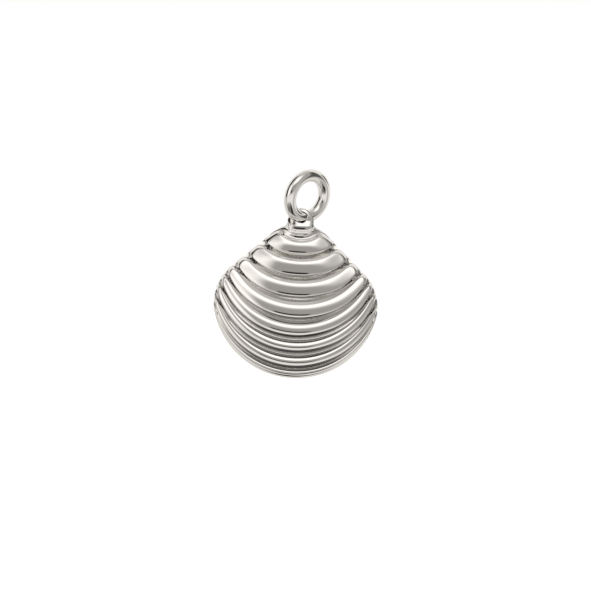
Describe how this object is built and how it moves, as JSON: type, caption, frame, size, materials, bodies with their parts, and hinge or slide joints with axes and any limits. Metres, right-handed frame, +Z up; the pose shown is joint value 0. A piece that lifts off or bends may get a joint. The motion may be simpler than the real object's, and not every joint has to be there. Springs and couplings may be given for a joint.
{
  "type": "shell charm pendant",
  "caption": "Puffed fan-shaped shell charm with raised ribs across both faces, a neck with an eye, and a closed jump ring it hangs from.",
  "frame": {"origin": "highest point inside the jump ring, where a chain bears", "axes": "+Z up along the hanging shell, -Y out of the ribbed front, +X to the right seen from the front"},
  "size_m": [0.0151, 0.0051, 0.0193],
  "materials": {
    "charm_silver": "bright polished silver",
    "ring_silver": "bright polished silver"
  },
  "bodies": {
    "ring": {"jump_ring": "ring_silver"},
    "charm": {"shell_charm": "charm_silver"}
  },
  "joints": [
    {"name": "charm_swing", "type": "hinge", "parent": "ring", "child": "charm", "pos_m": [-0.00063, 0.00074, -0.0033], "axis": [-0.7581, -0.6521, 0], "range_deg": [-100, 90]}
  ]
}
